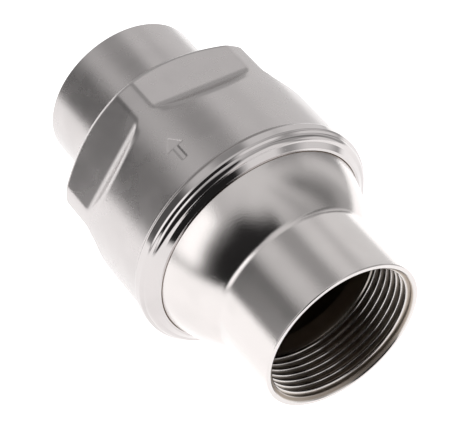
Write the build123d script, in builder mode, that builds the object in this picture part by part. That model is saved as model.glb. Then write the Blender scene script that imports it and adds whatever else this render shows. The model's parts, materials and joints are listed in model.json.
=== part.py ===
from build123d import *

import os
from math import atan2, hypot, pi, radians, sin, sqrt, tan

# Inline spring check valve for G 1 1/2 pipe, pressed from stainless sheet.
#
# The valve's axis is +X, which is also the direction of flow, and +Z points at the
# middle of one wrench flat. The origin is the middle of the valve, on its axis.
# Every x below is measured from the inlet mouth, and the drawing planes put it into
# that frame. All lengths are millimetres.

os.makedirs("parts", exist_ok=True)

# ---------------------------------------------------------------- pipe thread
# G 1 1/2 (BSP parallel), internal. Both necks are the same.
thread_minor_r = 22.42
thread_major_r = 23.90
thread_pitch = 2.309
thread_flank = radians(27.5)
thread_root_half = 0.10
thread_length = 17.6
mouth_chamfer_r = 24.00
mouth_edge = 0.4

# ------------------------------------------------------------- overall shape
length = 114.0
neck_r = 25.2
sheet = 2.0

inlet_neck_end = 23.4
dome_end_x = 40.4
dome_end_r = 33.5
dome_bulge = 1.1
neck_root = 3.5

# the rear shell's rim is rolled over the inlet shell's flange. Its front is a slanted
# lip, then a small step, a bead, and a second step up to the rim
flange_front = 42.4
flange_r = 36.5
rim_r = 38.3
rim_wall = 1.6
lip_front = 39.5
lip_inner_r = 33.55
lip_edge = (39.6, 34.2)
lip_top = (40.7, 35.65)
bead_start = (40.85, 36.15)
bead_middle = (41.5, 36.95)
bead_end = (42.3, 37.45)
rim_corner = (42.75, 38.1)
rim_start = 43.3
rim_end = 45.6
drum_start = 47.0
rim_round = 0.6

# the drum behind it, with six wrench flats pressed into its back
drum_r = 37.3
ramp_start = 68.0
flat_start = 72.4
flat_distance = 33.64
flat_count = 6
ramp_blend = 4.0
back_edge_x = 85.6
pressed_edge_round = 2.0
outlet_neck_start = 94.2
outlet_root = 1.5

# --------------------------------------------- parts clamped in the rim joint
gasket = 0.6
seat_plate_thick = 2.0
gasket_outer_r = 36.4
inlet_gasket_inner_r = 32.4
outlet_gasket_inner_r = 35.3
seat_plate_x = flange_front + sheet + gasket
outlet_gasket_x = seat_plate_x + seat_plate_thick
shoulder_x = outlet_gasket_x + gasket
seat_face_x = 51.0
seat_bore_r = 20.5
seat_collar_r = 22.6
seat_entry = 1.0
seat_root = 0.8
seat_nose = 1.0
seat_tip_half = 0.35
seat_tip_r = (seat_bore_r + seat_collar_r) / 2

# ------------------------------------------------------------ moving group
lift = 10.0
stem_r = 4.0
stem_start = 25.2
stem_end = 84.0
stem_chamfer = 0.6
stem_collar_r = 6.4
stem_collar = 2.0
seal_thick = 2.5
seal_r = 23.5
stem_bore_r = stem_r + 0.05
disc_r = 24.8
disc_plate = 2.0
disc_lip_depth = 1.6
disc_edge = 1.0
seal_gap = 0.1
retainer_r = 15.5
retainer_plate = 2.0
retainer_edge = 1.2
washer_plate = 1.2
washer_r = 7.5
washer_split = 0.8
nut_height = 6.5
nut_across_flats = 13.0
nut_corner_r = nut_across_flats / sqrt(3)
nut_chamfer = 0.5
cup_plate = 1.0
cup_r = 12.4
cup_rim = 2.6
cup_edge = 0.6
cup_gap = 0.1
disc_back = seat_face_x + seal_thick + disc_plate
washer_x = seat_face_x - retainer_plate - washer_plate
nut_x = washer_x - nut_height

# --------------------------------------------------------- fixed guides
running_gap = 0.05
guide_sheet = 1.2
guide_legs = 4
first_leg_turn = 45
leg_width = 7.0
guide_bend = 1.6
foot_outer_r = 30.6
inlet_foot_inner_r = 24.0
outlet_foot_inner_r = 25.2
cage_r = 31.2
cage_bend_x = 66.0
rivet_circle_r = 27.6
rivet_r = 1.5
rivet_head_r = 2.0
rivet_head = 1.0
rivet_head_round = 0.6
hub_r = 10.5
hub_bore_r = 6.2
inlet_hub_bend_r = 11.0
outlet_hub_bend_r = 12.0
leg_end_r = hub_bore_r + 1.0
inlet_hub_x = 34.5
outlet_hub_x = 80.0
bush_flange_r = 8.2
bush_flange = 1.4
bush_entry = 0.5
bush_edge = 0.4
bush_fit = 0.02
bush_nut_gap = 0.3
outlet_bush_reach = 4.4
inlet_bush_start = 32.0
inlet_bush_end = nut_x - bush_nut_gap
outlet_bush_start = disc_back + stem_collar + lift
outlet_bush_end = outlet_hub_x + outlet_bush_reach
clip = 0.8
clip_r = 7.6
clip_groove = 0.5
clip_gap = radians(50)
clip_end_round = 0.3

# ------------------------------------------------------------------- spring
spring_wire_r = 0.8
spring_mean_r = 9.4
spring_turns = 6.5
spring_start = disc_back + cup_plate
spring_end = outlet_hub_x

# --------------------------------------------------------- direction arrow
arrow_depth = 0.2
arrow_x = 53.0
arrow_length = 9.0
arrow_head = 4.0
arrow_head_half = 2.6
arrow_shaft_half = 0.8
arrow_turns = (-30, 90, 210)

# ----------------------------------------------------- cutting allowances
# how far a cutting shape runs past the surface that it opens, so that nothing is left standing
overrun = 1.0
chamber_overrun = 2.0
arrow_overrun = 2.0
flat_overrun = 6.0
flat_side_overrun = 4.0
# how near an edge has to lie to a named place to be the edge that is meant
edge_reach = 0.1
drum_edge_reach = 0.01
corner_reach = 1.0

# ---------------------------------------------------------- drawing planes
# all three have their origin at the centre of the inlet mouth
inlet_mouth = (-length / 2, 0, 0)
side_view = Plane(origin=inlet_mouth, x_dir=(1, 0, 0), z_dir=(0, -1, 0))
end_view = Plane(origin=inlet_mouth, x_dir=(0, 1, 0), z_dir=(1, 0, 0))
top_view = Plane(origin=inlet_mouth, x_dir=(1, 0, 0), z_dir=(0, 0, 1))
from_mouth = Axis(inlet_mouth, (1, 0, 0))


def finish(piece, name):
    """Label a finished piece and write it to its own file."""
    piece.part.label = name
    export_step(piece.part, f"parts/{name}.step")


def section(*points):
    """A closed outline in the plane of the axis. Each point is (x along the axis, radius)."""
    with BuildSketch(side_view) as outline:
        with BuildLine():
            Polyline(points, close=True)
        make_face()
    return outline.sketch


def ring(x, thick, inner_r, outer_r):
    """The outline of a plain flat ring around the axis."""
    return section(
        (x, inner_r),
        (x, outer_r),
        (x + thick, outer_r),
        (x + thick, inner_r),
    )


def thread_groove(mouth_x, inward):
    """The right-handed V groove of an internal thread that starts at a mouth.

    inward is +1 where the thread runs towards +X and -1 where it runs towards -X.
    """
    run_in = 1.5
    clearance = 0.3
    depth = thread_major_r - thread_minor_r + clearance
    open_half = thread_root_half + depth * tan(thread_flank)
    with BuildLine() as path:
        Helix(
            pitch=thread_pitch,
            height=thread_length + run_in,
            radius=thread_major_r,
            center=(mouth_x - inward * run_in - length / 2, 0, 0),
            direction=(inward, 0, 0),
        )
    foot = path.line @ 0
    tangent = path.line % 0
    outward = Vector(0, foot.Y, foot.Z).normalized()
    with BuildPart() as groove:
        with BuildSketch(Plane(origin=foot, x_dir=outward.cross(tangent), z_dir=tangent)):
            with BuildLine():
                Polyline(
                    (-thread_root_half, 0),
                    (thread_root_half, 0),
                    (open_half, -depth),
                    (-open_half, -depth),
                    close=True,
                )
            make_face()
        sweep(path=path.wires()[0], is_frenet=True)
    return groove.part


# -------------------------------------------------------------- inlet shell
def dome_arc():
    """Centre and radius of the arc that the outside of the inlet shoulder follows."""
    run = dome_end_x - inlet_neck_end
    rise = dome_end_r - neck_r
    chord = hypot(run, rise)
    radius = (chord**2 / 4 + dome_bulge**2) / (2 * dome_bulge)
    back_off = (radius - dome_bulge) / chord
    centre_x = (inlet_neck_end + dome_end_x) / 2 + back_off * rise
    centre_r = (neck_r + dome_end_r) / 2 - back_off * run
    return centre_x, centre_r, radius


def on_dome(x, depth=0.0):
    """The point of the shoulder's arc at x, or of the arc that lies depth inside it."""
    centre_x, centre_r, radius = dome_arc()
    return x, centre_r + sqrt((radius - depth) ** 2 - (x - centre_x) ** 2)


def dome_inside_x(at_r):
    """Where the inside of the shoulder reaches a radius."""
    centre_x, centre_r, radius = dome_arc()
    return centre_x - sqrt((radius - sheet) ** 2 - (at_r - centre_r) ** 2)


mouth_depth = mouth_chamfer_r - thread_minor_r
inlet_bore_end = dome_inside_x(thread_minor_r)
flange_back = flange_front + sheet
outer_middle_x = (inlet_neck_end + dome_end_x) / 2
inner_middle_x = (inlet_bore_end + dome_end_x) / 2

inlet_thread = thread_groove(0, 1)

with BuildPart() as inlet_shell:
    with BuildSketch(side_view):
        with BuildLine():
            Polyline(
                (mouth_depth, thread_minor_r),
                (0, mouth_chamfer_r),
                (0, neck_r - mouth_edge),
                (mouth_edge, neck_r),
                (inlet_neck_end, neck_r),
            )
            ThreePointArc(
                (inlet_neck_end, neck_r),
                on_dome(outer_middle_x),
                (dome_end_x, dome_end_r),
            )
            Polyline(
                (dome_end_x, dome_end_r),
                (flange_front, dome_end_r),
                (flange_front, flange_r),
                (flange_back, flange_r),
                (flange_back, dome_end_r - sheet),
                on_dome(dome_end_x, sheet),
            )
            ThreePointArc(
                on_dome(dome_end_x, sheet),
                on_dome(inner_middle_x, sheet),
                (inlet_bore_end, thread_minor_r),
            )
            Line((inlet_bore_end, thread_minor_r), (mouth_depth, thread_minor_r))
        make_face()
    revolve(axis=Axis.X)
    neck_edges = inlet_shell.edges().filter_by(GeomType.CIRCLE)
    root_edges = neck_edges.filter_by_position(from_mouth, inlet_neck_end - edge_reach, inlet_neck_end + edge_reach)
    fillet(root_edges, neck_root)
    add(inlet_thread, mode=Mode.SUBTRACT)
finish(inlet_shell, "inlet_shell")


# --------------------------------------------------------------- rear shell
back_run = outlet_neck_start - back_edge_x
back_rise = drum_r - neck_r
back_normal_x = back_rise / hypot(back_run, back_rise)
back_normal_r = back_run / hypot(back_run, back_rise)
ramp_angle = atan2(drum_r - flat_distance, flat_start - ramp_start)


def back_wall_x(radius, depth=0.0):
    """Where the cone of the back wall, or the cone that lies depth inside it, has a radius."""
    edge_x = back_edge_x - back_normal_x * depth
    edge_r = drum_r - back_normal_r * depth
    return edge_x + (edge_r - radius) * back_run / back_rise


def flat_cutters(depth=0.0):
    """What the six wrench flats and their ramps take off the drum, for the surface depth inside it."""
    level = flat_distance - depth
    start = flat_start - depth * tan(ramp_angle / 2)
    top = drum_r + flat_overrun
    ramp_top = start - (top - level) / tan(ramp_angle)
    half_width = drum_r * sin(pi / flat_count) + flat_side_overrun
    with BuildPart() as cutters:
        for k in range(flat_count):
            turned = side_view.rotated((360 / flat_count * k, 0, 0))
            with BuildSketch(turned) as outline:
                with BuildLine():
                    Polyline((start, level), (length, level), (length, top), (ramp_top, top), close=True)
                make_face()
                inner_corner = outline.vertices().group_by(Axis.Y)[0].sort_by(Axis.X)[0]
                fillet(inner_corner, ramp_blend)
            extrude(amount=half_width, both=True)
    return cutters.part


def drum_inside():
    """The space inside the rear shell, from its rolled lip to the start of the outlet bore."""
    inner_r = drum_r - sheet
    bore_start = back_wall_x(thread_minor_r, sheet)
    walls = flat_cutters(sheet)
    with BuildPart() as space:
        revolve(
            section(
                (lip_front - chamber_overrun, 0),
                (bore_start, 0),
                (bore_start, thread_minor_r),
                (back_wall_x(inner_r, sheet), inner_r),
                (shoulder_x, inner_r),
                (shoulder_x, rim_r - rim_wall),
                (flange_front, rim_r - rim_wall),
                (flange_front, lip_inner_r),
                (lip_front - chamber_overrun, lip_inner_r),
            ),
            axis=Axis.X,
        )
        add(walls, mode=Mode.SUBTRACT)
    return space.part


def arrow_cutters():
    """Flow arrows to be pressed into the drum, one on each third of it."""
    with BuildPart() as arrows:
        for turn in arrow_turns:
            plane = top_view.rotated((turn, 0, 0)).offset(drum_r - arrow_depth)
            with BuildSketch(plane):
                with BuildLine():
                    Polyline(
                        (arrow_x, arrow_shaft_half),
                        (arrow_x + arrow_length - arrow_head, arrow_shaft_half),
                        (arrow_x + arrow_length - arrow_head, arrow_head_half),
                        (arrow_x + arrow_length, 0),
                        (arrow_x + arrow_length - arrow_head, -arrow_head_half),
                        (arrow_x + arrow_length - arrow_head, -arrow_shaft_half),
                        (arrow_x, -arrow_shaft_half),
                        close=True,
                    )
                make_face()
            extrude(amount=arrow_overrun)
    return arrows.part


def is_pressed_edge(edge):
    """Whether an edge runs round a wrench flat or along the back of the drum."""
    middle = edge @ 0.5
    middle_x = middle.X + length / 2
    middle_r = hypot(middle.Y, middle.Z)
    on_drum = abs(middle_r - drum_r) < drum_edge_reach and middle_x > ramp_start - corner_reach
    on_back_wall = middle_x > back_edge_x + corner_reach and middle_r > flat_distance - edge_reach
    return on_drum or on_back_wall


wrench_flats = flat_cutters()
chamber = drum_inside()
outlet_thread = thread_groove(length, -1)
flow_arrows = arrow_cutters()

with BuildPart() as hex_body_shell:
    with BuildSketch(side_view):
        with BuildLine():
            Polyline(
                (length, 0),
                (lip_front, 0),
                (lip_front, lip_inner_r),
                lip_edge,
                lip_top,
                bead_start,
            )
            ThreePointArc(bead_start, bead_middle, bead_end)
            Polyline(
                bead_end,
                rim_corner,
                (rim_start, rim_r),
                (rim_end, rim_r),
                (drum_start, drum_r),
                (back_edge_x, drum_r),
                (outlet_neck_start, neck_r),
                (length - mouth_edge, neck_r),
                (length, neck_r - mouth_edge),
                (length, 0),
            )
        make_face()
    revolve(axis=Axis.X)
    add(wrench_flats, mode=Mode.SUBTRACT)
    pressed_edges = hex_body_shell.edges().filter_by(is_pressed_edge)
    fillet(pressed_edges, pressed_edge_round)
    neck_edges = hex_body_shell.edges().filter_by(GeomType.CIRCLE).filter_by_position(
        from_mouth, outlet_neck_start - edge_reach, outlet_neck_start + edge_reach
    )
    fillet(neck_edges, outlet_root)
    ring_edges = hex_body_shell.edges().filter_by(GeomType.CIRCLE).filter_by_position(
        from_mouth, rim_end - edge_reach, drum_start + edge_reach
    )
    fillet(ring_edges, rim_round)
    add(chamber, mode=Mode.SUBTRACT)
    revolve(
        section(
            (back_wall_x(thread_minor_r, sheet) - overrun, 0),
            (length + overrun, 0),
            (length + overrun, mouth_chamfer_r + overrun),
            (length, mouth_chamfer_r),
            (length - mouth_depth, thread_minor_r),
            (back_wall_x(thread_minor_r, sheet) - overrun, thread_minor_r),
        ),
        axis=Axis.X,
        mode=Mode.SUBTRACT,
    )
    add(outlet_thread, mode=Mode.SUBTRACT)
    add(flow_arrows, mode=Mode.SUBTRACT)
finish(hex_body_shell, "hex_body_shell")


# ---------------------------------------------------- gaskets and seat plate
with BuildPart() as inlet_gasket:
    revolve(ring(flange_back, gasket, inlet_gasket_inner_r, gasket_outer_r), axis=Axis.X)
finish(inlet_gasket, "inlet_gasket")

with BuildPart() as outlet_gasket:
    revolve(ring(outlet_gasket_x, gasket, outlet_gasket_inner_r, gasket_outer_r), axis=Axis.X)
finish(outlet_gasket, "outlet_gasket")

rivet_places = PolarLocations(rivet_circle_r, guide_legs, first_leg_turn)

with BuildPart() as seat_plate:
    revolve(
        section(
            (seat_plate_x, seat_bore_r + seat_entry),
            (seat_plate_x, gasket_outer_r),
            (outlet_gasket_x, gasket_outer_r),
            (outlet_gasket_x, seat_collar_r + seat_root),
            (outlet_gasket_x + seat_root, seat_collar_r),
            (seat_face_x - seat_nose, seat_collar_r),
            (seat_face_x, seat_tip_r + seat_tip_half),
            (seat_face_x, seat_tip_r - seat_tip_half),
            (seat_face_x - seat_nose, seat_bore_r),
            (seat_plate_x + seat_entry, seat_bore_r),
        ),
        axis=Axis.X,
    )
    with BuildSketch(end_view.offset(seat_plate_x)):
        with rivet_places:
            Circle(rivet_r)
    extrude(amount=seat_plate_thick, mode=Mode.SUBTRACT)
finish(seat_plate, "seat_plate")


# ------------------------------------------------------------ fixed guides
def guide(foot_x, hub_x, *leg_route):
    """A guide pressed from sheet: a hub plate on legs whose feet are riveted to the seat plate.

    leg_route is the middle line of one leg, as (x along the axis, radius).
    """
    with BuildPart() as frame:
        revolve(ring(hub_x, guide_sheet, hub_bore_r, hub_r), axis=Axis.X)
        for k in range(guide_legs):
            turn = first_leg_turn + 360 / guide_legs * k
            with BuildSketch(side_view.rotated((turn, 0, 0))):
                with BuildLine():
                    FilletPolyline(*leg_route, radius=guide_bend)
                trace(line_width=guide_sheet)
            extrude(amount=leg_width / 2, both=True)
        with BuildSketch(end_view.offset(hub_x)):
            Circle(hub_bore_r)
        extrude(amount=guide_sheet, mode=Mode.SUBTRACT)
        with BuildSketch(end_view.offset(foot_x)):
            with rivet_places:
                Circle(rivet_r)
        extrude(amount=guide_sheet, mode=Mode.SUBTRACT)
    return frame


half_sheet = guide_sheet / 2
inlet_foot_x = seat_plate_x - guide_sheet
outlet_foot_x = outlet_gasket_x

inlet_guide = guide(
    inlet_foot_x,
    inlet_hub_x,
    (inlet_foot_x + half_sheet, foot_outer_r),
    (inlet_foot_x + half_sheet, inlet_foot_inner_r),
    (inlet_hub_x + half_sheet, inlet_hub_bend_r),
    (inlet_hub_x + half_sheet, leg_end_r),
)
finish(inlet_guide, "inlet_guide")

outlet_guide = guide(
    outlet_foot_x,
    outlet_hub_x,
    (outlet_foot_x + half_sheet, outlet_foot_inner_r),
    (outlet_foot_x + half_sheet, cage_r),
    (cage_bend_x, cage_r),
    (outlet_hub_x + half_sheet, outlet_hub_bend_r),
    (outlet_hub_x + half_sheet, leg_end_r),
)
finish(outlet_guide, "outlet_guide")

with BuildPart() as guide_rivets:
    for start, thick, radius in (
        (inlet_foot_x - rivet_head, rivet_head, rivet_head_r),
        (inlet_foot_x, 2 * guide_sheet + seat_plate_thick, rivet_r),
        (outlet_foot_x + guide_sheet, rivet_head, rivet_head_r),
    ):
        with BuildSketch(end_view.offset(start)):
            with rivet_places:
                Circle(radius)
        extrude(amount=thick)
    head_ends = guide_rivets.faces().filter_by(Axis.X)
    fillet((head_ends.sort_by(Axis.X)[:guide_legs] + head_ends.sort_by(Axis.X)[-guide_legs:]).edges(), rivet_head_round)
finish(guide_rivets, "guide_rivets")


def bush(start, end, flange_x, groove_x):
    """A plastic bush that the stem slides in, with a flange and a groove for its clip."""
    outer_r = hub_bore_r - bush_fit
    bore_r = stem_r + running_gap
    with BuildPart() as sleeve:
        revolve(
            section(
                (start, bore_r + bush_entry),
                (start + bush_entry, bore_r),
                (end - bush_entry, bore_r),
                (end, bore_r + bush_entry),
                (end, outer_r - bush_edge),
                (end - bush_edge, outer_r),
                (start + bush_edge, outer_r),
                (start, outer_r - bush_edge),
            ),
            axis=Axis.X,
        )
        revolve(ring(flange_x, bush_flange, bore_r + bush_entry, bush_flange_r), axis=Axis.X)
        revolve(ring(groove_x, clip, outer_r - clip_groove, outer_r + overrun), axis=Axis.X, mode=Mode.SUBTRACT)
    return sleeve


def bush_clip(groove_x):
    """An open spring ring in the groove of a bush."""
    inner_r = hub_bore_r - clip_groove
    with BuildPart() as open_ring:
        revolve(ring(groove_x, clip, inner_r, clip_r), axis=Axis.X)
        with BuildSketch(end_view.offset(groove_x)):
            with BuildLine():
                Polyline(
                    (0, 0),
                    (2 * clip_r, -2 * clip_r * tan(clip_gap / 2)),
                    (2 * clip_r, 2 * clip_r * tan(clip_gap / 2)),
                    close=True,
                )
            make_face()
        extrude(amount=clip, mode=Mode.SUBTRACT)
        fillet(open_ring.edges().filter_by(Axis.X), clip_end_round)
    return open_ring


inlet_clip_x = inlet_hub_x - clip
outlet_clip_x = outlet_hub_x + guide_sheet

inlet_bush = bush(inlet_bush_start, inlet_bush_end, inlet_hub_x + guide_sheet, inlet_clip_x)
finish(inlet_bush, "inlet_bush")

outlet_bush = bush(outlet_bush_start, outlet_bush_end, outlet_hub_x - bush_flange, outlet_clip_x)
finish(outlet_bush, "outlet_bush")

inlet_bush_clip = bush_clip(inlet_clip_x)
finish(inlet_bush_clip, "inlet_bush_clip")

outlet_bush_clip = bush_clip(outlet_clip_x)
finish(outlet_bush_clip, "outlet_bush_clip")


# -------------------------------------------------------------- moving group
with BuildPart() as stem:
    revolve(
        section(
            (stem_start, 0),
            (stem_start, stem_r - stem_chamfer),
            (stem_start + stem_chamfer, stem_r),
            (disc_back, stem_r),
            (disc_back, stem_collar_r),
            (disc_back + stem_collar, stem_collar_r),
            (disc_back + stem_collar, stem_r),
            (stem_end - stem_chamfer, stem_r),
            (stem_end, stem_r - stem_chamfer),
            (stem_end, 0),
        ),
        axis=Axis.X,
    )
finish(stem, "stem")

with BuildPart() as disc:
    revolve(
        section(
            (disc_back - disc_plate, stem_bore_r),
            (disc_back - disc_plate, seal_r + seal_gap),
            (disc_back - disc_plate - disc_lip_depth, seal_r + seal_gap),
            (disc_back - disc_plate - disc_lip_depth, disc_r),
            (disc_back - disc_edge, disc_r),
            (disc_back, disc_r - disc_edge),
            (disc_back, stem_bore_r),
        ),
        axis=Axis.X,
    )
finish(disc, "disc")

with BuildPart() as seal_ring:
    revolve(ring(seat_face_x, seal_thick, stem_bore_r, seal_r), axis=Axis.X)
finish(seal_ring, "seal_ring")

with BuildPart() as seal_retainer:
    revolve(
        section(
            (seat_face_x - retainer_plate, stem_bore_r),
            (seat_face_x - retainer_plate, retainer_r - retainer_edge),
            (seat_face_x - retainer_plate + retainer_edge, retainer_r),
            (seat_face_x, retainer_r),
            (seat_face_x, stem_bore_r),
        ),
        axis=Axis.X,
    )
finish(seal_retainer, "seal_retainer")

with BuildPart() as lock_washer:
    revolve(ring(washer_x, washer_plate, stem_bore_r, washer_r), axis=Axis.X)
    with BuildSketch(end_view.offset(washer_x)):
        with Locations((0, -washer_r / 2)):
            Rectangle(washer_split, washer_r)
    extrude(amount=washer_plate, mode=Mode.SUBTRACT)
finish(lock_washer, "lock_washer")

with BuildPart() as stem_nut:
    revolve(
        section(
            (nut_x, stem_bore_r),
            (nut_x, nut_across_flats / 2),
            (nut_x + nut_chamfer, nut_corner_r),
            (nut_x + nut_height - nut_chamfer, nut_corner_r),
            (nut_x + nut_height, nut_across_flats / 2),
            (nut_x + nut_height, stem_bore_r),
        ),
        axis=Axis.X,
    )
    with BuildSketch(end_view.offset(nut_x)):
        RegularPolygon(nut_across_flats / 2, 6, major_radius=False)
    extrude(amount=nut_height, mode=Mode.INTERSECT)
finish(stem_nut, "stem_nut")

with BuildPart() as spring_cup:
    revolve(
        section(
            (disc_back, stem_collar_r + cup_gap),
            (disc_back, cup_r - cup_edge),
            (disc_back + cup_edge, cup_r),
            (disc_back + cup_plate + cup_rim, cup_r),
            (disc_back + cup_plate + cup_rim, cup_r - cup_plate),
            (disc_back + cup_plate, cup_r - cup_plate),
            (disc_back + cup_plate, stem_collar_r + cup_gap),
        ),
        axis=Axis.X,
    )
finish(spring_cup, "spring_cup")

with BuildPart() as spring:
    with BuildLine() as coil:
        Helix(
            pitch=(spring_end - spring_start - 2 * spring_wire_r) / spring_turns,
            height=spring_end - spring_start - 2 * spring_wire_r,
            radius=spring_mean_r,
            center=(spring_start + spring_wire_r - length / 2, 0, 0),
            direction=(1, 0, 0),
        )
    with BuildSketch(Plane(origin=coil.line @ 0, z_dir=coil.line % 0)):
        Circle(spring_wire_r)
    sweep(path=coil.wires()[0], is_frenet=True)
finish(spring, "spring")
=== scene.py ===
import json
from math import acos, atan2, ceil, cos, hypot, pi, radians, sin, sqrt, tan

import bpy
import numpy as np
from mathutils import Matrix, Vector

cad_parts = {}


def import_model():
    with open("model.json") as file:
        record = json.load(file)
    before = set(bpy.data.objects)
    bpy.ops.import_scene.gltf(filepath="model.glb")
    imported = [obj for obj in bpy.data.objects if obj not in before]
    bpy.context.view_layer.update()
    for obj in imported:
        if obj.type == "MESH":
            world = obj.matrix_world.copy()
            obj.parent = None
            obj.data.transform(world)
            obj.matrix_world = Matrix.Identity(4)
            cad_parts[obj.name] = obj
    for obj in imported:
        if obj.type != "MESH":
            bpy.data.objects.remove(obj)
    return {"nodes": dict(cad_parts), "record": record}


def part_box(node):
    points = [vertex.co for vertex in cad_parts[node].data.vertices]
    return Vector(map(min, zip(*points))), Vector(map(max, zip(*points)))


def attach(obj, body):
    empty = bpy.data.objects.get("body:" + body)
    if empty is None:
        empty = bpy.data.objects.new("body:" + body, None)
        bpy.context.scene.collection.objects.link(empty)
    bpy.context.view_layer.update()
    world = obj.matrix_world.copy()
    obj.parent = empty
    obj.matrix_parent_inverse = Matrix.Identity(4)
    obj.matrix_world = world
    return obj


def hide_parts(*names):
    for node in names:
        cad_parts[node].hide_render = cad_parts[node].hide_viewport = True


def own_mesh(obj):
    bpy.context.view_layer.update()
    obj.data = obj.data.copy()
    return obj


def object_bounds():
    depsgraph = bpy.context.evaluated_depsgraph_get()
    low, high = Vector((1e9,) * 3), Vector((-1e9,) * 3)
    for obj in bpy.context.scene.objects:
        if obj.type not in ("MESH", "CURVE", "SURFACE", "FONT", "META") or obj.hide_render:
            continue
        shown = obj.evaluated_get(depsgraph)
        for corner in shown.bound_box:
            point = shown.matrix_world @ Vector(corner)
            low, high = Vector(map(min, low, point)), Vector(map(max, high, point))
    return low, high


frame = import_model()
cad_low, cad_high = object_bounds()

# ------------------------------------------------------------------- sizes
# Lengths are millimetres, and x runs from the inlet mouth along the axis, as
# on the valve's drawing. place() turns them into the frame's metres.
MM = 0.001
inlet_low, inlet_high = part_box("inlet_shell")
body_low, body_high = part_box("hex_body_shell")
length = (body_high.x - inlet_low.x) / MM
rim_r = body_high.z / MM
sheet = 2.0

thread_minor_r = 22.42
thread_major_r = 23.9
thread_pitch = 2.309
thread_flank = radians(27.5)
thread_root_half = 0.10
thread_length = 17.6
thread_fade = 1.2
mouth_r = 24.0
mouth_edge_round = 0.35
neck_r = 25.2

inlet_neck_end = 23.4
dome_end_x = 40.4
dome_end_r = 33.5
dome_bulge = 1.1
neck_root = 3.5
flange_front = 42.4
flange_r = inlet_high.z / MM

lip_front = body_low.x / MM - inlet_low.x / MM
lip_inner_r = 33.55
lip_mouth_r = 33.36
lip_edge = (39.6, 34.2)
lip_top = (40.7, 35.65)
bead_start = (40.85, 36.15)
bead_middle = (41.2, 37.15)
bead_end = (42.3, 37.45)
rim_corner = (42.75, 38.1)
rim_start = 43.3
rim_end = 45.6
rim_inner_r = 36.7
drum_start = 47.0
drum_lead = 1.2
drum_r = 37.3
ramp_start = 68.0
flat_start = 72.4
flat_distance = 33.64
flat_count = 6
back_edge_x = 85.6
outlet_neck_start = 94.2
outlet_root = 1.5
back_edge_round = 1.8
pressed_round = 4.0
ramp_blend = 2.0
shoulder_x = 47.6

arrow_depth = 0.2
arrow_x = 53.0
arrow_length = 9.0
arrow_head = 4.0
arrow_head_half = 2.6
arrow_shaft_half = 0.8
arrow_turns = (-30, 90, 210)
arrow_edge = 0.22

# how finely the skins follow the valve: columns round the axis, and the spacing of rows along it
columns = 900
arrow_step = 0.14
flat_step = 0.16
rim_step = 0.5


def place(x):
    """A drawing x as a frame x, in metres."""
    return inlet_low.x + x * MM


# ------------------------------------------------------------ mesh helpers
def add_object(name, mesh):
    """A new object that shows a mesh."""
    made = bpy.data.objects.new(name, mesh)
    bpy.context.scene.collection.objects.link(made)
    return made


def grid_mesh(name, x, r, angles):
    """A closed skin round the axis. x and r hold a closed outline's rows, one column for each angle."""
    rows, count = r.shape
    points = np.stack([x, r * np.cos(angles), r * np.sin(angles)], -1).reshape(-1, 3)
    points[:, 0] = inlet_low.x + points[:, 0] * MM
    points[:, 1:] *= MM
    i = np.arange(rows)[:, None]
    j = np.arange(count)[None, :]
    below = (i + 1) % rows
    beside = (j + 1) % count
    quads = np.stack(
        [i * count + j, i * count + beside, below * count + beside, below * count + j],
        -1,
    ).reshape(-1, 4)
    mesh = bpy.data.meshes.new(name)
    mesh.from_pydata(points.tolist(), [], quads.tolist())
    mesh.polygons.foreach_set("use_smooth", np.ones(len(quads), bool))
    mesh.update()
    return mesh


def unit(v):
    """A vector's direction."""
    return v / np.linalg.norm(v)


def run(start, end, step=1.2, edge=0.08):
    """Points of a straight run, closer together at its two ends so that its shading stays flat."""
    start = np.array(start, float)
    end = np.array(end, float)
    far = float(np.linalg.norm(end - start))
    if far < 3 * edge:
        return [start, end]
    inner = np.linspace(edge, far - edge, max(2, ceil((far - 2 * edge) / step) + 1))
    return [start + (end - start) * d / far for d in (0.0, *inner, far)]


def outline(*corners, step=1.2):
    """Points (x, r) of straight runs with rounded corners. Each corner is (x, r, rounding)."""
    stops = []
    for k, (x, r, rounding) in enumerate(corners):
        here = np.array([x, r], float)
        if rounding == 0 or k in (0, len(corners) - 1):
            stops.append([here])
            continue
        back = unit(np.array(corners[k - 1][:2], float) - here)
        on = unit(np.array(corners[k + 1][:2], float) - here)
        half = acos(max(-1.0, min(1.0, float(back @ on)))) / 2
        middle = here + unit(back + on) * rounding / sin(half)
        first = unit(here + back * rounding / tan(half) - middle)
        last = unit(here + on * rounding / tan(half) - middle)
        turn = pi - 2 * half
        steps = max(3, ceil(turn / radians(12)))
        arc = []
        for s in range(steps + 1):
            t = s / steps
            arc.append(middle + rounding * (first * sin((1 - t) * turn) + last * sin(t * turn)) / sin(turn))
        stops.append(arc)
    points = list(stops[0])
    for arc in stops[1:]:
        points += run(points[-1], arc[0], step)[1:]
        points += arc[1:]
    return points


angles = np.arange(columns) * 2 * pi / columns


def as_rows(points, spread=columns):
    """A list of (x, r) points as two arrays with the same row at each angle."""
    flat = np.array(points, float)
    ones = np.ones((1, spread))
    return flat[:, :1] * ones, flat[:, 1:] * ones


def stack(*stretches):
    """Joins stretches of rows into one closed outline."""
    return np.vstack([s[0] for s in stretches]), np.vstack([s[1] for s in stretches])


# ------------------------------------------------------------- threaded bore
def smooth_step(t):
    """0 up to t = 0 and 1 from t = 1, with an even ease between them."""
    t = np.clip(t, 0, 1)
    return t * t * (3 - 2 * t)


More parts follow.
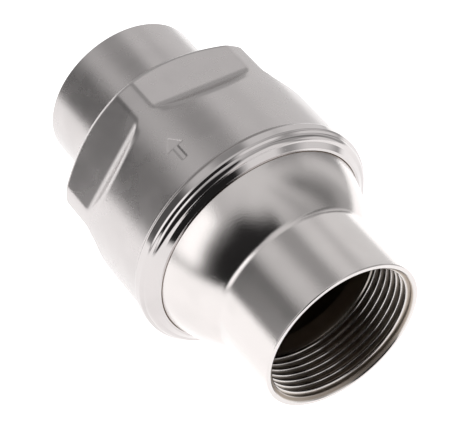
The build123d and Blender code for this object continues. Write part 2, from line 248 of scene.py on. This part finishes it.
def bore_rows(mouth_x, inward, end_x):
    """Rows of a threaded bore from its mouth to where the plain bore ends."""
    depth_in = np.concatenate(
        [
            np.linspace(0.0, 2.0, 26)[:-1],
            np.arange(2.0, thread_length + 1.0, thread_pitch / 24),
            np.linspace(thread_length + 1.0, abs(end_x - mouth_x), 8),
        ]
    )
    x = mouth_x + inward * depth_in[:, None] * np.ones((1, columns))
    turns = x / thread_pitch - angles[None, :] / (2 * pi)
    from_root = np.abs(turns - np.round(turns)) * thread_pitch
    # the crests are rounded over this much
    crest_half = 0.06
    slope_down = np.maximum(from_root - thread_root_half, 0) / tan(thread_flank)
    groove = thread_major_r - thread_minor_r - slope_down
    groove = 0.5 * (groove + np.sqrt(groove**2 + crest_half**2)) - 0.5 * crest_half
    groove *= 1 - smooth_step((depth_in[:, None] - thread_length + thread_fade) / thread_fade)
    r = thread_minor_r + np.maximum(groove, 0)
    r = np.maximum(r, mouth_r - depth_in[:, None])
    return x, r


# ---------------------------------------------------------------- inlet shell
def dome_arc():
    """Centre and radius of the arc that the shoulder's outside follows."""
    across = dome_end_x - inlet_neck_end
    rise = dome_end_r - neck_r
    chord = hypot(across, rise)
    radius = (chord**2 / 4 + dome_bulge**2) / (2 * dome_bulge)
    back_off = (radius - dome_bulge) / chord
    centre_x = (inlet_neck_end + dome_end_x) / 2 + back_off * rise
    centre_r = (neck_r + dome_end_r) / 2 - back_off * across
    return centre_x, centre_r, radius


def dome_points(first_x, last_x, depth, count):
    """Points along the shoulder, depth inside its outer surface."""
    centre_x, centre_r, radius = dome_arc()
    xs = np.linspace(first_x, last_x, count)
    return [np.array([x, centre_r + sqrt((radius - depth) ** 2 - (x - centre_x) ** 2)]) for x in xs]


def neck_root_points(rounding=neck_root, steps=16):
    """The small hollow where the neck runs into the shoulder."""
    centre_x, centre_r, radius = dome_arc()
    # a circle that touches the neck's line and the shoulder's arc from outside
    root_r = neck_r + rounding
    root_x = centre_x - sqrt((radius + rounding) ** 2 - (root_r - centre_r) ** 2)
    end_angle = atan2(centre_r - root_r, centre_x - root_x)
    start_angle = -pi / 2
    return [
        np.array([root_x + rounding * cos(a), root_r + rounding * sin(a)])
        for a in np.linspace(start_angle, end_angle, steps)
    ]


def inlet_shell():
    """The polished inlet end: neck, domed shoulder and flange, as one skin."""
    centre_x, centre_r, radius = dome_arc()
    bore_end = centre_x - sqrt((radius - sheet) ** 2 - (thread_minor_r - centre_r) ** 2)
    root = neck_root_points()
    outside = outline((0, mouth_r, 0), (0, neck_r, mouth_edge_round), (root[0][0], neck_r, 0))
    outside += root[1:]
    outside += dome_points(root[-1][0] + 0.1, dome_end_x, 0, 90)
    flange = outline(
        (dome_end_x, dome_end_r, 0),
        (flange_front, dome_end_r, 0),
        (flange_front, flange_r, 0),
        (flange_front + sheet, flange_r, 0),
        (flange_front + sheet, dome_end_r - sheet, 0.5),
        (dome_end_x, dome_points(dome_end_x, dome_end_x, sheet, 1)[0][1], 0),
    )
    inside = dome_points(dome_end_x, bore_end, sheet, 60)
    bore_x, bore_r = bore_rows(0.0, 1, bore_end)
    x, r = stack(
        as_rows(outside),
        as_rows(flange[1:]),
        as_rows(inside[1:-1]),
        (bore_x[::-1], bore_r[::-1]),
    )
    x, r = x[:-1], r[:-1]
    return add_object("inlet_shell_skin", grid_mesh("inlet_shell_skin", x, r, angles))


# ------------------------------------------------------------------ hex shell
def soft_min(a, b, width):
    """The smaller of two heights, with the crease between them rounded over a width."""
    blend = np.maximum(width - np.abs(a - b), 0) / width
    return np.minimum(a, b) - blend**2 * width / 4


def soft_max(a, b, width):
    """The larger of two heights, with the crease between them rounded over a width."""
    return -soft_min(-a, -b, width)


def drum_radius(x, depth=0.0):
    """The drum's radius at each x and angle, with its wrench flats and back wall pressed in."""
    rise = drum_r - neck_r
    back = outlet_neck_start - back_edge_x
    slant = hypot(back, rise)
    cone_edge_x = back_edge_x - depth * rise / slant
    cone_edge_r = drum_r - depth * back / slant
    cone = cone_edge_r - (x - cone_edge_x) * rise / back
    ramp_slope = (drum_r - flat_distance) / (flat_start - ramp_start)
    sector = 2 * pi / flat_count
    from_middle = (angles[None, :] - pi / 2 + sector / 2) % sector - sector / 2
    ramp = flat_distance + (flat_start - x) * ramp_slope
    level = soft_max(ramp, np.full_like(x, flat_distance), ramp_blend) - depth
    flats = level / np.cos(from_middle)
    flat_slope = np.tan(np.abs(from_middle))
    round_width = 0.5 * pressed_round * (ramp_slope**2 * smooth_step((flat_start - x) / 3) + flat_slope**2)
    drum = np.full_like(flats, drum_r - depth)
    body = soft_min(drum, flats, np.maximum(round_width, 0.1))
    return soft_min(body, cone + 0 * flats, back_edge_round)


def arrow_dent(x):
    """How deep the pressed flow arrows go at each x and angle."""
    dent = np.zeros((len(x), columns))
    head_x = arrow_x + arrow_length - arrow_head
    for turn in arrow_turns:
        middle = pi / 2 + radians(turn)
        across = np.abs((angles[None, :] - middle + pi) % (2 * pi) - pi) * drum_r
        shaft = np.maximum(across - arrow_shaft_half, np.maximum(arrow_x - x, x - head_x))
        half_here = arrow_head_half * (arrow_x + arrow_length - x) / arrow_head
        head = np.maximum(across - half_here, head_x - x)
        inside = np.minimum(shaft, head)
        dent = np.maximum(dent, arrow_depth * smooth_step(0.5 - inside / arrow_edge))
    return dent


def drum_rows():
    """The rows of the drum's outside, between the rim and the outlet neck."""
    arrow_from = arrow_x - 0.5
    arrow_to = arrow_x + arrow_length + 0.5
    ramp_from = ramp_start - 1.5
    x = np.concatenate(
        [
            np.linspace(drum_start + drum_lead, arrow_from, 12)[:-1],
            np.arange(arrow_from, arrow_to, arrow_step),
            np.linspace(arrow_to, ramp_from, 8)[:-1],
            np.arange(ramp_from, outlet_neck_start - 1.2, flat_step),
        ]
    )[:, None]
    return x * np.ones((1, columns)), drum_radius(x) - arrow_dent(x)


def chamber_rows():
    """The rows of the chamber's wall, from the back to the shoulder that the seat plate rests on."""
    bore_start = outlet_bore_start()
    x = np.concatenate(
        [
            np.linspace(bore_start - 0.1, ramp_start - 2, 150)[:-1],
            np.linspace(ramp_start - 2, shoulder_x, 12),
        ]
    )[:, None]
    return x * np.ones((1, columns)), drum_radius(x, sheet)


def outlet_bore_start():
    """Where the inside of the back wall meets the outlet bore."""
    rise = drum_r - neck_r
    back = outlet_neck_start - back_edge_x
    slant = hypot(back, rise)
    return back_edge_x - sheet * rise / slant + (drum_r - sheet * back / slant - thread_minor_r) * back / rise


def hex_body_shell():
    """The rear shell: rolled rim, drum with six wrench flats, back wall and outlet neck, as one skin."""
    rim = outline(
        (lip_front + 1.0, lip_inner_r, 0),
        (lip_front, lip_mouth_r, 0.12),
        (*lip_edge, 0.2),
        (*lip_top, 0.15),
        (*bead_start, 0.15),
        (*bead_middle, 1.7),
        (*bead_end, 0.12),
        (*rim_corner, 0.25),
        (rim_start, rim_r, 0.5),
        (rim_end, rim_r, 0.6),
        (drum_start, drum_r, 0.9),
        (drum_start + drum_lead, drum_r, 0),
        step=rim_step,
    )
    neck = outline(
        (outlet_neck_start - 1.0, neck_r + (drum_r - neck_r) / (outlet_neck_start - back_edge_x), 0),
        (outlet_neck_start, neck_r, outlet_root),
        (length, neck_r, mouth_edge_round),
        (length, mouth_r, 0),
    )
    bore = bore_rows(length, -1, outlet_bore_start())
    hidden = outline(
        (shoulder_x, drum_r - sheet, 0),
        (shoulder_x, rim_inner_r, 0),
        (flange_front, rim_inner_r, 0),
        (flange_front, lip_inner_r, 0),
        (lip_front + 1.2, lip_inner_r, 0),
    )
    x, r = stack(
        as_rows(rim[:-1]),
        drum_rows(),
        as_rows(neck[1:-1]),
        bore,
        chamber_rows(),
        as_rows(hidden[1:]),
    )
    return add_object("hex_body_skin", grid_mesh("hex_body_skin", x, r, angles))


# ------------------------------------------------------------------ materials
class Nodes:
    """Short calls to build one material's node tree."""

    def __init__(self, tree):
        self.tree = tree

    def add(self, kind, **settings):
        node = self.tree.nodes.new(kind)
        for name, value in settings.items():
            setattr(node, name, value)
        return node

    def link(self, source, target):
        self.tree.links.new(source, target)

    def math(self, operation, a, b=None, c=None):
        node = self.add("ShaderNodeMath", operation=operation)
        for socket, value in zip(node.inputs, (a, b, c)):
            if value is None:
                continue
            if isinstance(value, (int, float)):
                socket.default_value = value
            else:
                self.link(value, socket)
        return node.outputs[0]

    def map(self, value, low, high, to_low, to_high, kind="SMOOTHSTEP"):
        node = self.add("ShaderNodeMapRange", interpolation_type=kind)
        self.link(value, node.inputs["Value"])
        for name, number in (("From Min", low), ("From Max", high), ("To Min", to_low), ("To Max", to_high)):
            node.inputs[name].default_value = number
        return node.outputs["Result"]

    def mix(self, share, a, b):
        node = self.add("ShaderNodeMix", data_type="RGBA")
        for socket, value in ((node.inputs[0], share), (node.inputs[6], a), (node.inputs[7], b)):
            if isinstance(value, (int, float)):
                socket.default_value = value
            elif isinstance(value, tuple):
                socket.default_value = (*value, 1.0)
            else:
                self.link(value, socket)
        return node.outputs[2]

    def vector(self, x, y, z):
        node = self.add("ShaderNodeCombineXYZ")
        for socket, value in zip(node.inputs, (x, y, z)):
            if isinstance(value, (int, float)):
                socket.default_value = value
            else:
                self.link(value, socket)
        return node.outputs[0]

    def noise(self, vector, scale, detail=3.0, roughness=0.55):
        node = self.add("ShaderNodeTexNoise")
        self.link(vector, node.inputs["Vector"])
        node.inputs["Scale"].default_value = scale
        node.inputs["Detail"].default_value = detail
        node.inputs["Roughness"].default_value = roughness
        return node.outputs["Fac"]


def around_axis(nodes):
    """Where a point is: along the axis, off it, and its direction round it as a cosine and a sine."""
    place_node = nodes.add("ShaderNodeTexCoord")
    split = nodes.add("ShaderNodeSeparateXYZ")
    nodes.link(place_node.outputs["Object"], split.inputs[0])
    x, y, z = split.outputs
    squares = nodes.math("ADD", nodes.math("MULTIPLY", y, y), nodes.math("MULTIPLY", z, z))
    radius = nodes.math("SQRT", squares)
    # never 0, so that the direction is defined on the axis too
    safe = nodes.math("MAXIMUM", radius, 0.0005)
    cosine = nodes.math("DIVIDE", y, safe)
    sine = nodes.math("DIVIDE", z, safe)
    return place_node.outputs["Object"], x, radius, cosine, sine


def new_material(name):
    """An empty material with a Principled shader."""
    material = bpy.data.materials.new(name)
    material.use_nodes = True
    tree = material.node_tree
    shader = tree.nodes["Principled BSDF"]
    return material, Nodes(tree), shader


def steel(name, color, roughness, grain_depth, streak=0.0, cloud=0.06, nicks=0.0, shiny_until=None):
    """Stainless steel.

    grain_depth is the height of its fine satin grain in metres. streak, from 0 to 1, draws
    the grain out round the axis as a polishing wheel does. nicks is the depth of the few
    small dents of use. shiny_until is an x up to which the metal is polished instead.
    """
    material, nodes, shader = new_material(name)
    point, x, radius, c, s = around_axis(nodes)
    along = nodes.math("ADD", x, radius)
    wheel = nodes.vector(
        nodes.math("MULTIPLY", along, 2400.0),
        nodes.math("MULTIPLY", c, 3.0),
        nodes.math("MULTIPLY", s, 3.0),
    )
    lines = nodes.noise(wheel, 1.0, 4.0, 0.6)
    grain = nodes.noise(point, 2500.0, 3.0, 0.7)
    clouds = nodes.noise(point, 60.0, 2.0, 0.5)
    blotches = nodes.noise(point, 260.0, 3.0, 0.6)
    rough = nodes.math(
        "ADD",
        nodes.map(clouds, 0.35, 0.65, roughness * 0.93, roughness * 1.07),
        nodes.map(blotches, 0.35, 0.7, -0.03 * roughness, 0.05 * roughness),
    )
    height = nodes.math(
        "ADD",
        nodes.math("MULTIPLY", grain, grain_depth * (1 - streak)),
        nodes.math("MULTIPLY", lines, grain_depth * streak),
    )
    if shiny_until is not None:
        satin_share = nodes.map(x, shiny_until - 0.0006, shiny_until + 0.0010, 0.0, 1.0)
        rough = nodes.math("MULTIPLY", rough, nodes.map(satin_share, 0.0, 1.0, 0.25, 1.0, "LINEAR"))
        height = nodes.math("MULTIPLY", height, nodes.map(satin_share, 0.0, 1.0, 0.12, 1.0, "LINEAR"))
    if nicks:
        spots = nodes.noise(point, 420.0, 2.0, 0.45)
        height = nodes.math("SUBTRACT", height, nodes.map(spots, 0.735, 0.80, 0.0, nicks))
        drawn = nodes.add("ShaderNodeMapping")
        nodes.link(point, drawn.inputs["Vector"])
        drawn.inputs["Rotation"].default_value = (0.6, 0.9, 0.4)
        drawn.inputs["Scale"].default_value = (60.0, 1500.0, 1500.0)
        scratches = nodes.noise(drawn.outputs[0], 1.0, 1.0, 0.4)
        height = nodes.math("SUBTRACT", height, nodes.map(scratches, 0.80, 0.86, 0.0, nicks * 0.4))
    nodes.link(rough, shader.inputs["Roughness"])
    dark = tuple(v * (1 - cloud * 2) for v in color)
    shade = nodes.mix(nodes.map(clouds, 0.3, 0.6, 0.0, 1.0), dark, color)
    nodes.link(shade, shader.inputs["Base Color"])
    bump = nodes.add("ShaderNodeBump")
    bump.inputs["Strength"].default_value = 1.0
    bump.inputs["Distance"].default_value = 1.0
    nodes.link(height, bump.inputs["Height"])
    nodes.link(bump.outputs[0], shader.inputs["Normal"])
    shader.inputs["Metallic"].default_value = 1.0
    return material


def bore_steel():
    """The inside of the pressed shells, with painted shade: bright crests and mouth, and grooves and a wall
    behind that are rougher and painted dark brown as the shade deep in the bore.
    """
    material, nodes, shader = new_material("bore_steel")
    point, x, radius = around_axis(nodes)[:3]
    clouds = nodes.noise(point, 120.0, 4.0, 0.6)
    grain = nodes.noise(point, 1800.0, 3.0, 0.6)
    from_middle = nodes.math("ABSOLUTE", x)
    half_length = length / 2
    thread_end = half_length - thread_length
    mouth = nodes.map(from_middle, (half_length - 0.6) * MM, (half_length - 0.1) * MM, 0.0, 1.0)
    crest = nodes.map(radius, (thread_minor_r + 0.10) * MM, (thread_minor_r + 0.75) * MM, 1.0, 0.25)
    threaded = nodes.map(from_middle, (thread_end - 1.5) * MM, (thread_end + 1.5) * MM, 0.0, 1.0)
    # painted shade: the thread grooves and the bore past the thread get a dark brown colour, and only the
    # crests and the mouth keep the bright steel colour
    bright = nodes.math("MAXIMUM", nodes.math("MULTIPLY", crest, threaded), mouth)
    painted_shade_brown = nodes.mix(clouds, (0.230, 0.175, 0.125), (0.360, 0.285, 0.220))
    nodes.link(nodes.mix(bright, painted_shade_brown, (0.60, 0.57, 0.55)), shader.inputs["Base Color"])
    nodes.link(nodes.map(bright, 0.0, 1.0, 0.50, 0.16), shader.inputs["Roughness"])
    bump = nodes.add("ShaderNodeBump")
    bump.inputs["Distance"].default_value = 0.000004
    nodes.link(grain, bump.inputs["Height"])
    nodes.link(bump.outputs[0], shader.inputs["Normal"])
    shader.inputs["Metallic"].default_value = 1.0
    return material


def rubber():
    """Smooth black rubber."""
    material, nodes, shader = new_material("seal_rubber")
    point = around_axis(nodes)[0]
    clouds = nodes.noise(point, 220.0, 4.0, 0.6)
    nodes.link(nodes.mix(clouds, (0.016, 0.016, 0.017), (0.034, 0.033, 0.032)), shader.inputs["Base Color"])
    nodes.link(nodes.map(clouds, 0.3, 0.7, 0.42, 0.6), shader.inputs["Roughness"])
    return material


def plastic():
    """Off-white acetal."""
    material, nodes, shader = new_material("bush_plastic")
    point = around_axis(nodes)[0]
    clouds = nodes.noise(point, 160.0, 4.0, 0.6)
    nodes.link(nodes.mix(clouds, (0.70, 0.67, 0.59), (0.80, 0.78, 0.71)), shader.inputs["Base Color"])
    nodes.link(nodes.map(clouds, 0.3, 0.7, 0.32, 0.46), shader.inputs["Roughness"])
    return material


def fibre():
    """Pressed fibre sheet."""
    material, nodes, shader = new_material("gasket_fibre")
    point = around_axis(nodes)[0]
    clouds = nodes.noise(point, 900.0, 5.0, 0.7)
    nodes.link(nodes.mix(clouds, (0.10, 0.11, 0.10), (0.22, 0.23, 0.21)), shader.inputs["Base Color"])
    nodes.link(nodes.map(clouds, 0.3, 0.7, 0.75, 0.95), shader.inputs["Roughness"])
    return material


def paint_inside(thing, inner_material):
    """Gives the faces of a shell that look towards its axis their own material."""
    mesh = thing.data
    mesh.materials.append(inner_material)
    count = len(mesh.polygons)
    normals = np.empty(count * 3)
    centres = np.empty(count * 3)
    mesh.polygons.foreach_get("normal", normals)
    mesh.polygons.foreach_get("center", centres)
    normals = normals.reshape(-1, 3)
    centres = centres.reshape(-1, 3)
    radius = np.hypot(centres[:, 1], centres[:, 2])
    outward = (normals[:, 1] * centres[:, 1] + normals[:, 2] * centres[:, 2]) / radius
    inside = (outward < -0.05) & (np.abs(centres[:, 0]) < (length / 2 - 0.05) * MM)
    mesh.polygons.foreach_set("material_index", inside.astype(int))
    mesh.update()


def paint(thing, material):
    """Gives an object one material."""
    thing.data.materials.clear()
    thing.data.materials.append(material)


# the rim is polished like the inlet end, and the satin finish starts this far behind the lip
satin_start = 7.2
polished = steel(
    "polished_steel",
    color=(0.645, 0.61, 0.598),
    roughness=0.13,
    grain_depth=0.000028,
    streak=0.05,
    cloud=0.03,
    nicks=0.00001,
)
satin = steel(
    "satin_steel",
    color=(0.55, 0.52, 0.515),
    roughness=0.27,
    grain_depth=0.000020,
    streak=0.1,
    cloud=0.035,
    nicks=0.00002,
    shiny_until=body_low.x + satin_start * MM,
)
fine_grain = 0.000003
# the inner parts' dark, brownish steel colours are painted shade of the valve's inside
inner = steel("inner_steel", (0.20, 0.175, 0.16), 0.34, fine_grain, streak=0.2, cloud=0.10)
turned = steel("turned_steel", (0.30, 0.27, 0.25), 0.26, fine_grain, streak=0.9, cloud=0.06)
springy = steel("spring_steel", (0.22, 0.20, 0.19), 0.30, fine_grain, streak=0.3, cloud=0.10)
bore = bore_steel()
by_slot = {
    "polished_steel": polished,
    "satin_steel": satin,
    "inner_steel": inner,
    "turned_steel": turned,
    "spring_steel": springy,
    "seal_rubber": rubber(),
    "gasket": fibre(),
    "bush_plastic": plastic(),
}
for row in frame["record"]["subparts"]:
    paint(frame["nodes"][row["node"]], by_slot[row["material_slot"]])

# --------------------------------------------------------------- the two shells
inlet_skin = inlet_shell()
paint(inlet_skin, polished)
paint_inside(inlet_skin, bore)
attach(inlet_skin, "valve_body")
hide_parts("inlet_shell")

body_skin = hex_body_shell()
paint(body_skin, satin)
paint_inside(body_skin, bore)
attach(body_skin, "valve_body")
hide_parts("hex_body_shell")


# --------------------------------------------------------------------- spring
spring_low, spring_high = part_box("spring")
spring_wire_r = 0.8
spring_closed_turns = 1.2
spring_turns = 7.4


def spring_coil():
    """The spring as a tube: even coils between two closed end turns that are ground flat."""
    start = (spring_low.x - inlet_low.x) / MM
    end = (spring_high.x - inlet_low.x) / MM
    mean_r = spring_high.z / MM - spring_wire_r
    wire = 2 * spring_wire_r
    first = start + spring_wire_r * 0.55
    last = end - spring_wire_r * 0.55
    steps_per_turn = 60
    turns = np.linspace(0, spring_turns, int(spring_turns * steps_per_turn) + 1)
    open_turns = spring_turns - 2 * spring_closed_turns
    closed_rise = spring_closed_turns * wire * 0.96
    share = np.clip((turns - spring_closed_turns) / open_turns, 0, 1)
    eased = share - 0.11 * np.sin(2 * pi * share) / (2 * pi)
    lower = np.minimum(turns, spring_closed_turns) / spring_closed_turns * closed_rise
    upper = np.maximum(turns - spring_turns + spring_closed_turns, 0) / spring_closed_turns * closed_rise
    centre_x = first + lower + upper + eased * (last - first - 2 * closed_rise)
    ring_count = 20
    points = []
    for turn, x in zip(turns, centre_x):
        a = 2 * pi * turn
        for k in range(ring_count):
            b = 2 * pi * k / ring_count
            r = mean_r + spring_wire_r * cos(b)
            level = min(max(x + spring_wire_r * sin(b), start), end)
            points.append((place(level), r * cos(a) * MM, r * sin(a) * MM))
    faces = [tuple(range(ring_count))[::-1]]
    for i in range(len(turns) - 1):
        for k in range(ring_count):
            on = (k + 1) % ring_count
            low = i * ring_count
            faces.append((low + k, low + on, low + ring_count + on, low + ring_count + k))
    top = (len(turns) - 1) * ring_count
    faces.append(tuple(top + k for k in range(ring_count)))
    mesh = bpy.data.meshes.new("spring_coil")
    mesh.from_pydata(points, [], faces)
    mesh.polygons.foreach_set("use_smooth", [len(face) == 4 for face in faces])
    mesh.update()
    return add_object("spring_coil", mesh)


coil = spring_coil()
paint(coil, springy)
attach(coil, "valve_body")
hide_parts("spring")
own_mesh(coil)


# --------------------------------------------------------------------- studio
def floor():
    """A pale light table under the valve."""
    half = 3.0
    mesh = bpy.data.meshes.new("floor")
    corners = [(-half, -half, 0), (half, -half, 0), (half, half, 0), (-half, half, 0)]
    mesh.from_pydata(corners, [], [(0, 1, 2, 3)])
    made = add_object("floor", mesh)
    made.location.z = cad_low.z
    material, nodes, shader = new_material("floor_white")
    point = nodes.add("ShaderNodeTexCoord").outputs["Object"]
    mottle = nodes.noise(point, 6.0, 2.0, 0.5)
    nodes.link(nodes.mix(mottle, (0.80, 0.80, 0.80), (0.84, 0.84, 0.84)), shader.inputs["Base Color"])
    shader.inputs["Roughness"].default_value = 0.9
    shader.inputs["Emission Color"].default_value = (1, 1, 1, 1)
    shader.inputs["Emission Strength"].default_value = 1.0
    # in reflections the table ends not far from the valve, and the room shows past it
    away = nodes.add("ShaderNodeVectorMath", operation="LENGTH")
    nodes.link(point, away.inputs[0])
    near = nodes.map(away.outputs["Value"], 0.20, 0.34, 1.0, 0.0)
    seen = nodes.math("MAXIMUM", near, nodes.add("ShaderNodeLightPath").outputs["Is Camera Ray"])
    clear = nodes.add("ShaderNodeBsdfTransparent")
    both = nodes.add("ShaderNodeMixShader")
    nodes.link(seen, both.inputs[0])
    nodes.link(clear.outputs[0], both.inputs[1])
    nodes.link(shader.outputs[0], both.inputs[2])
    nodes.link(both.outputs[0], material.node_tree.nodes["Material Output"].inputs["Surface"])
    paint(made, material)


def world():
    """Soft studio surroundings: a grey room, a white side wall, and the dark space round the camera."""
    made = bpy.data.worlds.new("studio")
    bpy.context.scene.world = made
    made.use_nodes = True
    nodes = Nodes(made.node_tree)
    background = made.node_tree.nodes["Background"]
    split = nodes.add("ShaderNodeSeparateXYZ")
    nodes.link(nodes.add("ShaderNodeTexCoord").outputs["Generated"], split.inputs[0])
    x, y, z = split.outputs
    azimuth = nodes.math("DEGREES", nodes.math("ARCTAN2", x, nodes.math("MULTIPLY", y, -1.0)))
    elevation = nodes.math("DEGREES", nodes.math("ARCSINE", z))

    def patch(middle, half, soft, low, high, soft_up):
        """1 inside a patch of sky, falling to 0 past its soft edges. Angles are degrees."""
        turned_by = nodes.math("WRAP", nodes.math("SUBTRACT", azimuth, middle), 180.0, -180.0)
        off = nodes.math("ABSOLUTE", turned_by)
        side = nodes.map(off, half - soft / 2, half + soft / 2, 1, 0)
        bottom = nodes.map(elevation, low - soft_up / 2, low + soft_up / 2, 0, 1)
        top = nodes.map(elevation, high - soft_up / 2, high + soft_up / 2, 1, 0)
        return nodes.math("MULTIPLY", side, nodes.math("MULTIPLY", bottom, top))

    level = nodes.map(elevation, 20, 90, 0.50, 0.85)
    # each patch: middle, half width and soft edge in azimuth; low, high and soft edge in elevation; level
    for middle, half, soft, low, high, soft_up, value in (
        (0, 400, 1, -90, -16, 8, 1.20),
        (104, 22, 12, -26, -5, 8, 1.30),
        (170, 15, 14, -8, 50, 18, 1.00),
        (180, 12, 8, -4, 45, 14, 1.65),
        (137, 13, 14, -9, 33, 14, 0.13),
        (125, 12, 16, 37, 58, 14, 0.78),
        (88, 20, 20, 34, 66, 16, 0.40),
        (55, 13, 12, 32, 54, 12, 0.90),
        (37, 12, 10, -14, 34, 16, 0.92),
        (19, 5, 6, -4, 66, 14, 0.33),
        (-15, 8, 12, 8, 60, 24, 0.25),
        (-44, 5, 8, 34, 76, 16, 0.45),
        (8, 6, 6, -10, 36, 12, 0.78),
        (-66, 12, 8, -14, 30, 12, 1.15),
        (-34, 12, 10, -16, 12, 10, 1.05),
    ):
        share = patch(middle, half, soft, low, high, soft_up)
        change = nodes.math("MULTIPLY", share, nodes.math("SUBTRACT", value, level))
        level = nodes.math("ADD", level, change)
    # the dark room round the camera, whose left side leans over as it rises
    dark_level = 0.022
    turn = nodes.math("WRAP", azimuth, 180.0, -180.0)
    risen = nodes.math("MAXIMUM", nodes.math("SUBTRACT", elevation, 20.0), 0.0)
    lean = nodes.math("MULTIPLY", risen, 0.35)
    left = nodes.map(nodes.math("SUBTRACT", turn, lean), -174, -154, 0, 1)
    right = nodes.map(turn, -86, -79, 1, 0)
    bottom = nodes.map(elevation, -16, -11, 0, 1)
    top = nodes.map(elevation, 50, 72, 1, 0)
    across = nodes.math("MULTIPLY", left, right)
    upright = nodes.math("MULTIPLY", bottom, top)
    dark = nodes.math("MULTIPLY", across, upright)
    darker = nodes.math("MULTIPLY", dark, nodes.math("SUBTRACT", dark_level, level))
    level = nodes.math("ADD", level, darker)
    rays = nodes.add("ShaderNodeLightPath")
    seen = nodes.mix(rays.outputs["Is Camera Ray"], nodes.vector(level, level, level), (1.0, 1.0, 1.0))
    nodes.link(seen, background.inputs["Color"])
    background.inputs["Strength"].default_value = 1.0


def camera():
    """The camera at the photograph's angle."""
    data = bpy.data.cameras.new("camera")
    data.lens = 149.3
    data.sensor_width = 36.0
    data.clip_start = 0.01
    data.clip_end = 50.0
    made = bpy.data.objects.new("camera", data)
    bpy.context.scene.collection.objects.link(made)
    right = Vector((-0.55364, -0.83085, 0.05640))
    up = Vector((0.61740, -0.36408, 0.69733))
    back = -Vector((0.55884, -0.42089, -0.71453))
    place_at = Vector((-0.31552, 0.23489, 0.39770))
    made.matrix_world = Matrix.Translation(place_at) @ Matrix((right, up, back)).transposed().to_4x4()
    bpy.context.scene.camera = made


floor()
world()
camera()
bpy.context.scene.view_settings.view_transform = "Standard"
